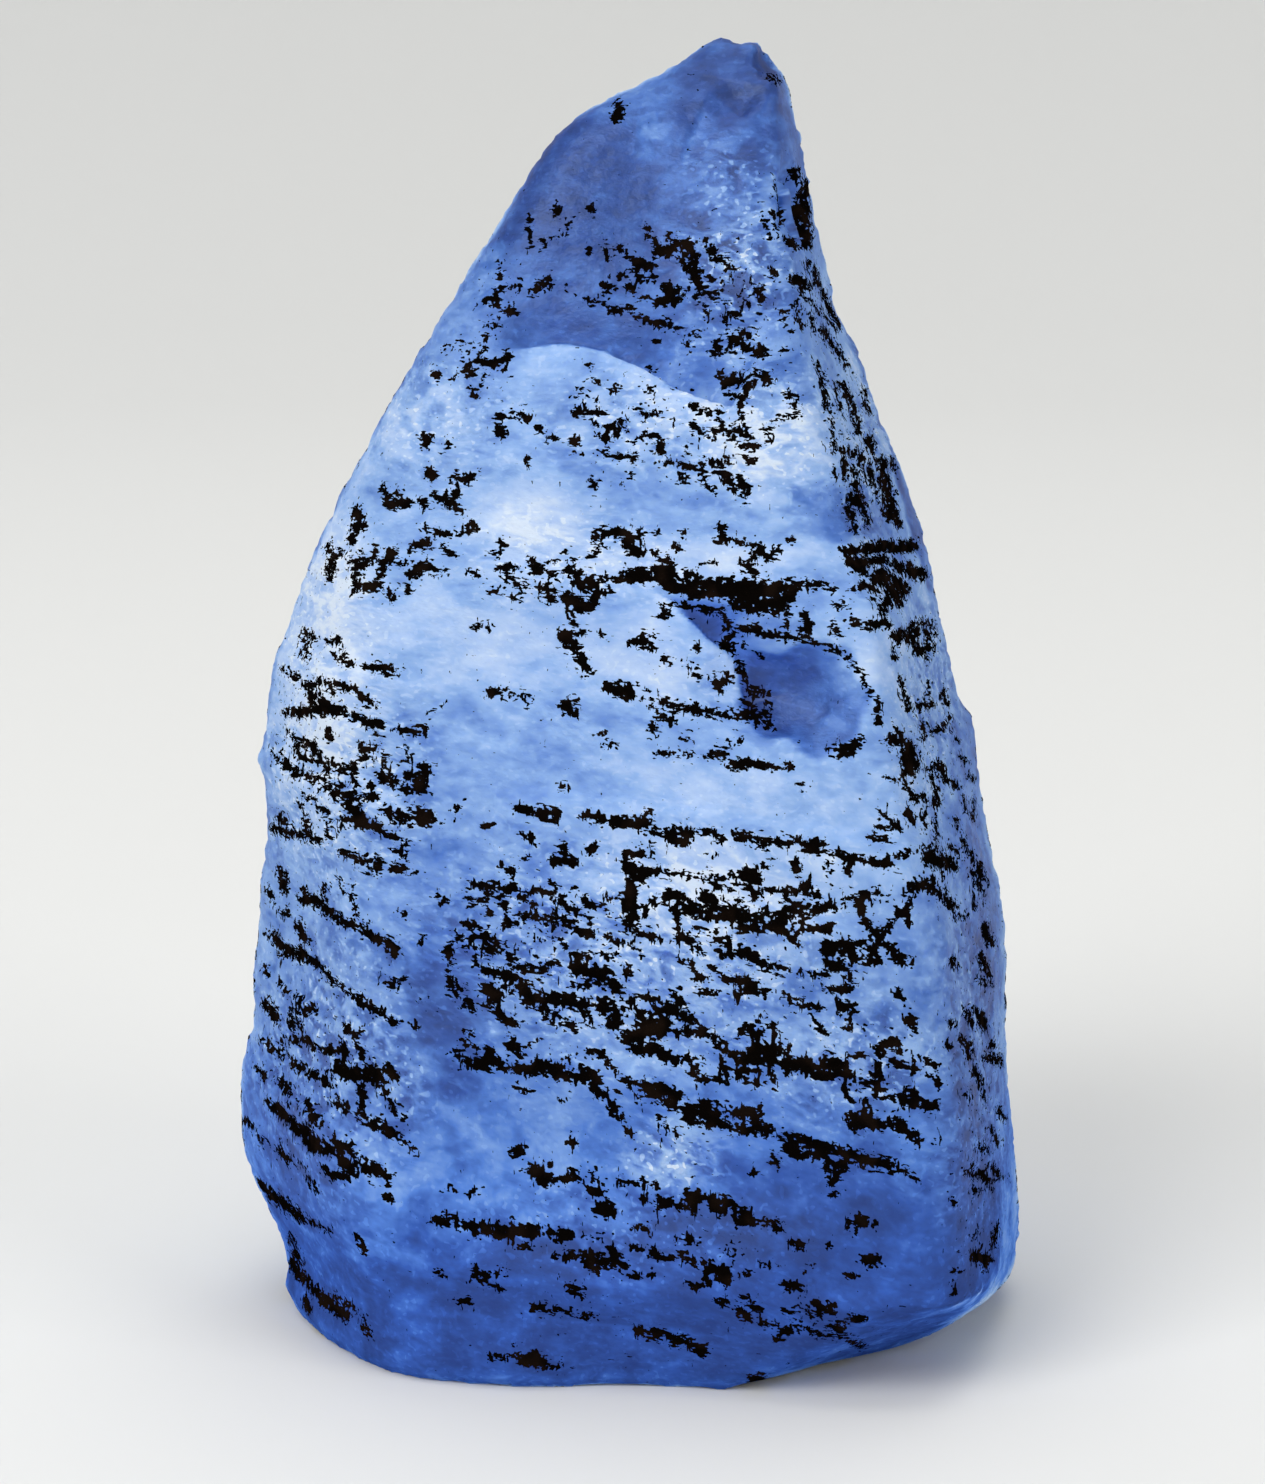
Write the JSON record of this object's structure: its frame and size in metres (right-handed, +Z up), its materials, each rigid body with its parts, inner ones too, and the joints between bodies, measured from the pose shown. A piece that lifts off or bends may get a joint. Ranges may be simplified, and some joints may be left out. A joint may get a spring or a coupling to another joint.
{
  "type": "rough sapphire crystal",
  "caption": "Rough blue sapphire crystal, a worn tapering hexagonal spire with growth ledges and shell chips, standing upright on its flat broken foot.",
  "frame": {"origin": "middle of the crystal's bounding box, on the surface that the foot stands on", "axes": "+Z up along the crystal's length, +X to the viewer's right, -Y towards the viewer and the widest face"},
  "size_m": [0.0302, 0.0246, 0.048],
  "materials": {
    "sapphire": "worn and finely striated, milky blue, with brown-black mineral film in the growth lines"
  },
  "bodies": {
    "root": {"sapphire_crystal": "sapphire"}
  },
  "joints": []
}
